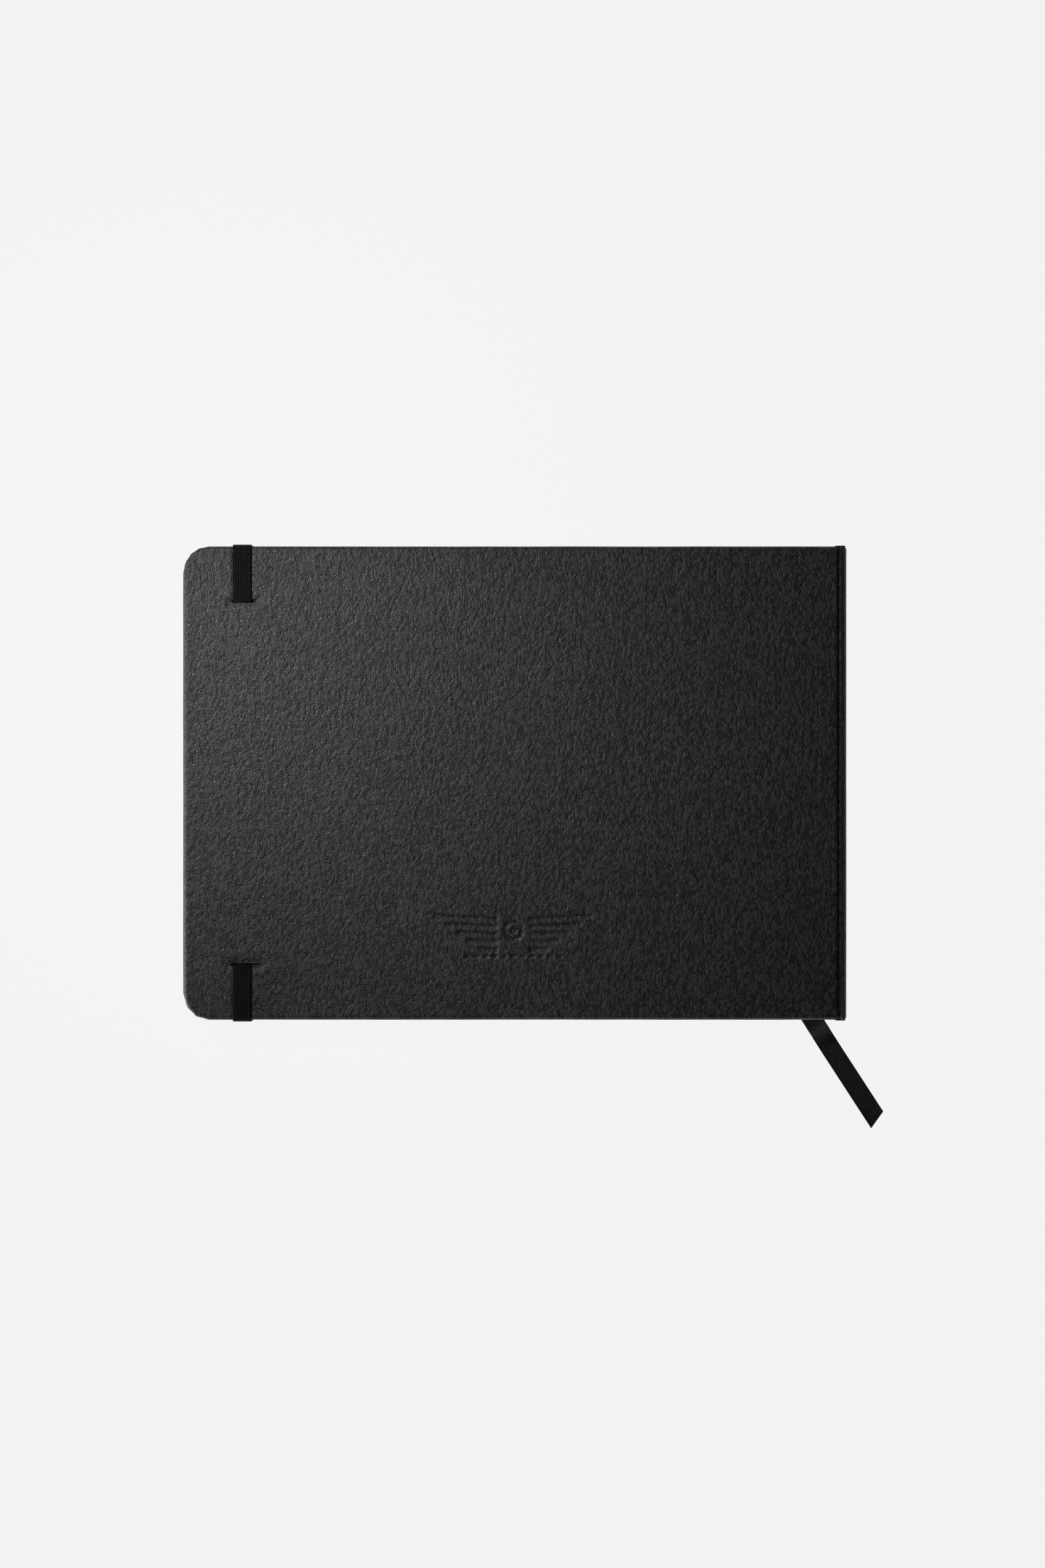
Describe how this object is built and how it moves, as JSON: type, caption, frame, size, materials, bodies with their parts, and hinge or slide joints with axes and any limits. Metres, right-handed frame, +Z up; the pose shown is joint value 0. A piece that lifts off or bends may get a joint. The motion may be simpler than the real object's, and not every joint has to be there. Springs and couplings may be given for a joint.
{
  "type": "pilot logbook",
  "caption": "Landscape hardback flight logbook in black leatherette, with sewn sections, an elastic closure threaded through the back cover and a ribbon marker.",
  "frame": {"origin": "centre of the closed book's footprint, on the plane its front cover lies on, ribbon left out", "axes": "+X from fore edge to spine, +Y from tail to head, +Z up through the back cover"},
  "size_m": [0.2302, 0.1912, 0.0177],
  "materials": {
    "leatherette": "black pebble-grained leatherette, low sheen",
    "greyboard": "plain greyboard",
    "lining_paper": "uncoated kraft lining",
    "endpaper": "smooth ivory endpaper",
    "page_paper": "uncoated cream writing paper",
    "ribbon_satin": "black woven satin",
    "mull": "open cotton gauze",
    "linen_thread": "waxed linen thread",
    "headband_cloth": "black striped band cloth",
    "elastic_weave": "black ribbed woven elastic"
  },
  "bodies": {
    "front_cover": {"front_board": "greyboard", "front_infill": "lining_paper", "front_covering": "leatherette", "front_pastedown": "endpaper", "ribbon_marker": "ribbon_satin"},
    "spine": {"spine_inlay": "greyboard", "spine_covering": "leatherette", "spine_lining_paper": "lining_paper", "spine_mull": "mull", "sewing_threads": "linen_thread", "headband": "headband_cloth", "tailband": "headband_cloth", "front_joint_web": "leatherette", "back_joint_web": "leatherette"},
    "back_cover": {"back_board": "greyboard", "back_infill": "lining_paper", "back_covering": "leatherette", "back_pastedown": "endpaper", "elastic_head_tab": "elastic_weave", "elastic_tail_tab": "elastic_weave"},
    "section_1": {"section_1": "page_paper", "front_flyleaf": "endpaper"},
    "section_2": {"section_2": "page_paper"},
    "section_3": {"section_3": "page_paper"},
    "section_4": {"section_4": "page_paper"},
    "section_5": {"section_5": "page_paper"},
    "section_6": {"section_6": "page_paper"},
    "section_7": {"section_7": "page_paper"},
    "section_8": {"section_8": "page_paper", "back_flyleaf": "endpaper"},
    "elastic": {"elastic_head_run": "elastic_weave", "elastic_tail_run": "elastic_weave", "elastic_front_run": "elastic_weave"}
  },
  "joints": [
    {"name": "book_open", "type": "hinge", "parent": "front_cover", "child": "spine", "pos_m": [0.10695, 0, 0.00153], "axis": [0, 1, 0], "range_deg": [0, 90], "deforming": ["front_joint_web"]},
    {"name": "back_cover_turn", "type": "hinge", "parent": "spine", "child": "back_cover", "pos_m": [0.10695, 0, 0.01553], "axis": [0, 1, 0], "range_deg": [0, 90], "deforming": ["back_joint_web"]},
    {"name": "section_1_turn", "type": "hinge", "parent": "spine", "child": "section_1", "pos_m": [0.1044, 0, 0.00447], "axis": [0, 1, 0], "range_deg": [-86.8, 0]},
    {"name": "section_2_turn", "type": "hinge", "parent": "spine", "child": "section_2", "pos_m": [0.1044, 0, 0.00567], "axis": [0, 1, 0], "range_deg": [-80.2, 0]},
    {"name": "section_3_turn", "type": "hinge", "parent": "spine", "child": "section_3", "pos_m": [0.1044, 0, 0.00687], "axis": [0, 1, 0], "range_deg": [-74, 0]},
    {"name": "section_4_turn", "type": "hinge", "parent": "spine", "child": "section_4", "pos_m": [0.1044, 0, 0.00807], "axis": [0, 1, 0], "range_deg": [-67.5, 0]},
    {"name": "section_5_turn", "type": "hinge", "parent": "spine", "child": "section_5", "pos_m": [0.1044, 0, 0.00927], "axis": [0, 1, 0], "range_deg": [0, 66]},
    {"name": "section_6_turn", "type": "hinge", "parent": "spine", "child": "section_6", "pos_m": [0.1044, 0, 0.01047], "axis": [0, 1, 0], "range_deg": [0, 73]},
    {"name": "section_7_turn", "type": "hinge", "parent": "spine", "child": "section_7", "pos_m": [0.1044, 0, 0.01167], "axis": [0, 1, 0], "range_deg": [0, 80.01]},
    {"name": "section_8_turn", "type": "hinge", "parent": "spine", "child": "section_8", "pos_m": [0.1044, 0, 0.01287], "axis": [0, 1, 0], "range_deg": [0, 88.01]},
    {"name": "elastic_swing", "type": "hinge", "parent": "back_cover", "child": "elastic", "pos_m": [-0.08818, 0, 0.01705], "axis": [0, 1, 0], "range_deg": [0, 180], "deforming": ["elastic_head_run", "elastic_tail_run", "elastic_front_run"]}
  ],
  "couplings": [
    {"joint": "back_cover_turn", "follows": "book_open", "ratio": 1},
    {"joint": "section_1_turn", "follows": "book_open", "ratio": -0.96444},
    {"joint": "section_2_turn", "follows": "book_open", "ratio": -0.89111},
    {"joint": "section_3_turn", "follows": "book_open", "ratio": -0.82222},
    {"joint": "section_4_turn", "follows": "book_open", "ratio": -0.75},
    {"joint": "section_5_turn", "follows": "book_open", "ratio": 0.73333},
    {"joint": "section_6_turn", "follows": "book_open", "ratio": 0.81111},
    {"joint": "section_7_turn", "follows": "book_open", "ratio": 0.88889},
    {"joint": "section_8_turn", "follows": "book_open", "ratio": 0.97778},
    {"joint": "elastic_swing", "follows": "book_open", "ratio": 2}
  ]
}
